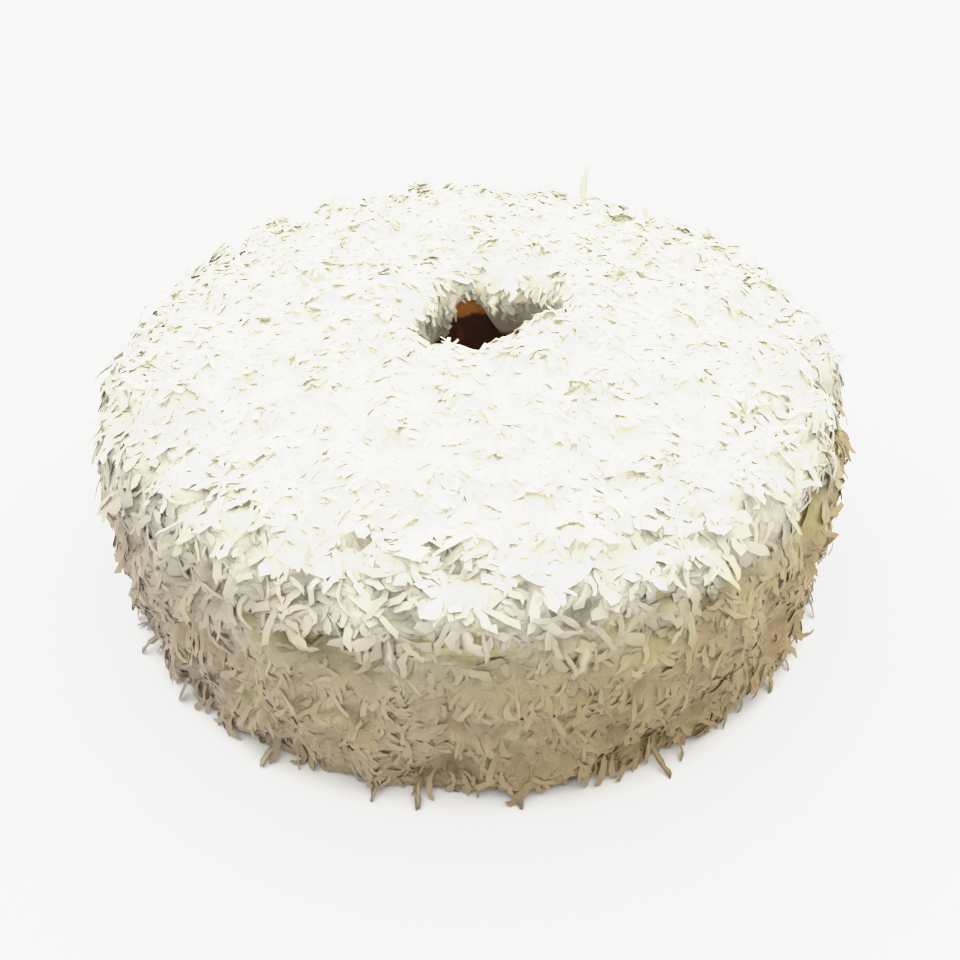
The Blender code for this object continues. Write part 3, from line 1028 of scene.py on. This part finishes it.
# %% List the strays
STRAYS = [
    # (compass direction, stretch, length, width, curl, sway, turn from straight down, lift)
    (-153.0, 0.18, 0.0190, 0.0022, 60.0, 110.0, 10.0, 35.0),
    (-147.0, 0.05, 0.0120, 0.0020, -40.0, 40.0, -20.0, 45.0),
    (-64.0, 0.10, 0.0150, 0.0024, 20.0, 15.0, 15.0, 55.0),
    (-97.0, 0.02, 0.0110, 0.0026, -20.0, 30.0, 0.0, 60.0),
    (-104.0, 0.03, 0.0100, 0.0022, 10.0, -40.0, 25.0, 55.0),
    (-118.0, 0.06, 0.0110, 0.0022, -30.0, 60.0, -15.0, 50.0),
    (-84.0, 0.04, 0.0100, 0.0028, 10.0, 20.0, 10.0, 55.0),
    (-40.0, 0.10, 0.0120, 0.0020, -30.0, -60.0, -20.0, 45.0),
    (-12.0, 0.50, 0.0120, 0.0020, -40.0, 50.0, 20.0, 40.0),
    (66.0, 1.80, 0.0200, 0.0028, 10.0, 25.0, 180.0, 70.0),
    (100.0, 2.10, 0.0090, 0.0026, -30.0, 30.0, 150.0, 45.0),
    (125.0, 1.95, 0.0090, 0.0024, -30.0, -40.0, 200.0, 40.0),
    (50.0, 1.95, 0.0080, 0.0024, -30.0, 40.0, 160.0, 45.0),
    (150.0, 1.70, 0.0090, 0.0024, -40.0, 60.0, 220.0, 35.0),
    (22.0, 1.70, 0.0090, 0.0024, -40.0, -60.0, 140.0, 35.0),
    (86.0, 3.45, 0.0110, 0.0042, -50.0, 20.0, 175.0, 15.0),
    (70.0, 3.40, 0.0090, 0.0036, -40.0, -30.0, 190.0, 20.0),
    (128.0, 3.50, 0.0090, 0.0026, -30.0, 40.0, 165.0, 20.0),
    (-100.0, 1.30, 0.0150, 0.0032, -70.0, 50.0, 10.0, 18.0),
    (-76.0, 1.25, 0.0140, 0.0034, -60.0, -70.0, -15.0, 18.0),
    (-91.0, 1.35, 0.0130, 0.0040, -60.0, 40.0, 40.0, 15.0),
    (-120.0, 1.30, 0.0140, 0.0030, -60.0, 80.0, 0.0, 18.0),
    (-58.0, 1.30, 0.0140, 0.0034, -60.0, -50.0, 20.0, 18.0),
]
STRAY_RINGS = 8
STRAY_THICKNESS = 0.0005
STRAY_TWIST = 0.4
STRAY_SINK = 0.0008
# Strays take less of the painted shade than the shreds around them.
STRAY_TONE = 1.8


# %% Place the strays
def stray_frame(direction, stretch, turn, lift):
    """Where a stray grows from the coat, and its three axes as the columns of a matrix."""
    angle = math.radians(direction)
    ring = outer_ring(angle)
    number = min(range(1, len(ring) - 1), key=lambda index: abs(ring[index][1] - stretch))
    upward = (ring[number + 1][0] - ring[number - 1][0]).normalized()
    sideways = Vector((-math.sin(angle), math.cos(angle), 0.0))
    outward = sideways.cross(upward).normalized()
    flat = sideways * math.sin(math.radians(turn)) - upward * math.cos(math.radians(turn))
    pointing = (flat * math.cos(math.radians(lift)) + outward * math.sin(math.radians(lift))).normalized()
    across = outward.cross(pointing).normalized()
    axes = Matrix((pointing, across, pointing.cross(across))).transposed()
    return ring[number][0] - outward * STRAY_SINK, axes


def fixed_kind(length, width, curl, sway):
    """A kind of shred as shred_shape reads it, with one value instead of a range for each measure."""
    kind = {"rings": STRAY_RINGS, "length": length, "width": width, "thickness": STRAY_THICKNESS}
    kind["point"] = (0.5, 0.8)
    fixed = {"curl": math.radians(curl), "sway": math.radians(sway), "twist": STRAY_TWIST, "long": 1.0}
    fixed["wide"] = 1.0
    for measure, value in fixed.items():
        kind[measure] = (value, value)
    return kind


def stray_mesh(name):
    """All the strays as one mesh."""
    draw = random.Random(9)
    points, faces = [], []
    for direction, stretch, length, width, curl, sway, turn, lift in STRAYS:
        shred_points, shred_faces = shred_shape(draw, fixed_kind(length, width, curl, sway))
        place, axes = stray_frame(direction, stretch, turn, lift)
        faces += [tuple(corner + len(points) for corner in face) for face in shred_faces]
        points += [place + axes @ point for point in shred_points]
    mesh = outward_mesh(name, points, faces)
    mesh.materials.append(coconut)
    tones = mesh.attributes.new("tone", "FLOAT", "POINT")
    tones.data.foreach_set("value", [STRAY_TONE] * len(mesh.vertices))
    raise_off_floor(mesh, 3 * STRAY_RINGS)
    return mesh


strays = coat_piece("stray_shreds", stray_mesh("stray_shreds"))
print("strays", len(STRAYS), "faces", len(strays.data.polygons))

# %% [markdown]
# ## Floor, light and camera
#
# A white cake on a pale floor needs a light from above that is stronger than the light all round, so
# that the side falls into a soft shade. A world does both here: it is dim all round, and it brightens
# towards a point overhead and a little behind the cake, as a very large softbox would. A lamp gives
# harder shade between the shreds. The camera looks down at the cake from the front, steeply enough to
# show the hole.


# %% Lay the floor
def floor_finish():
    material, graph, shader = new_finish("pale_floor")
    place = object_place(graph)
    cloud = noise_of(graph, place, 0.4)
    pale = graph.blend(cloud, colour(0.82, 0.84, 0.95), colour(0.85, 0.87, 0.98))
    graph.fill(shader.inputs["Base Color"], pale)
    shader.inputs["Roughness"].default_value = 0.8
    return material


FLOOR_SIZE = 60.0
bpy.ops.mesh.primitive_plane_add(size=FLOOR_SIZE, location=(0.0, 0.0, 0.0))
floor = bpy.context.active_object
floor.name = "floor"
floor.data.materials.append(floor_finish())
print("floor", FLOOR_SIZE, "m wide")


# %% Hang the light
LIGHT_TINT = colour(1.0, 0.975, 0.84)
LIGHT_TOWARDS = Vector((0.0, 0.25, 1.0))


def softbox_dome(name, towards, dim, bright, low, high):
    """A world that is dim all round and brightens smoothly towards one direction."""
    world = bpy.data.worlds.new(name)
    world.use_nodes = True
    graph = Graph(world.node_tree)
    looking = graph.node("ShaderNodeTexCoord")["Generated"]
    facing = graph.dot(looking, towards.normalized())
    strength = dim + graph.between(facing, low, high) * (bright - dim)
    background = world.node_tree.nodes["Background"]
    background.inputs["Color"].default_value = LIGHT_TINT
    graph.fill(background.inputs["Strength"], strength)
    return world


bpy.context.scene.world = softbox_dome("studio", LIGHT_TOWARDS, dim=0.40, bright=4.30, low=0.40, high=0.98)
print("light towards", tuple(LIGHT_TOWARDS))

# %% Place the camera
VIEW_ELEVATION = math.radians(39.7)
VIEW_DISTANCE = 0.457
VIEW_LENS = 42.1
AIM_OFFSET = Vector((0.0022, 0.0026, 0.0181))
view = bpy.data.cameras.new("view")
view.lens = VIEW_LENS
view.sensor_width = 36.0
camera = bpy.data.objects.new("view", view)
aim = middle + AIM_OFFSET
backward = Vector((0.0, -math.cos(VIEW_ELEVATION), math.sin(VIEW_ELEVATION)))
camera.location = aim + backward * VIEW_DISTANCE
camera.rotation_euler = (math.pi / 2 - VIEW_ELEVATION, 0.0, 0.0)
bpy.context.scene.collection.objects.link(camera)
bpy.context.scene.camera = camera
print("camera", tuple(camera.location), "looks at", tuple(aim))

# %% [markdown]
# ## The tone curve
#
# The top of the cake is lit far more than its side, and a plain display cuts off all that is brighter
# than white. The curve leaves dark and middle tones as they are and bends the bright ones over, so that
# the shreds on the top still show. It ends in a white point well above 1.

# %% Set the tone curve
TONE_CURVE = [(0.45, 0.45), (0.62, 0.605), (0.78, 0.735), (0.95, 0.850), (1.10, 0.915), (1.40, 0.965)]
WHITE_POINT = (1.80, 1.00)
tones = bpy.context.scene.view_settings
tones.view_transform = "Standard"
tones.use_curve_mapping = True
tones.curve_mapping.extend = "EXTRAPOLATED"
tones.curve_mapping.use_clip = False
combined = tones.curve_mapping.curves[3]
combined.points[-1].location = WHITE_POINT
for linear, shown in TONE_CURVE:
    combined.points.new(linear, shown)
tones.curve_mapping.update()
print("tone curve points", len(combined.points))
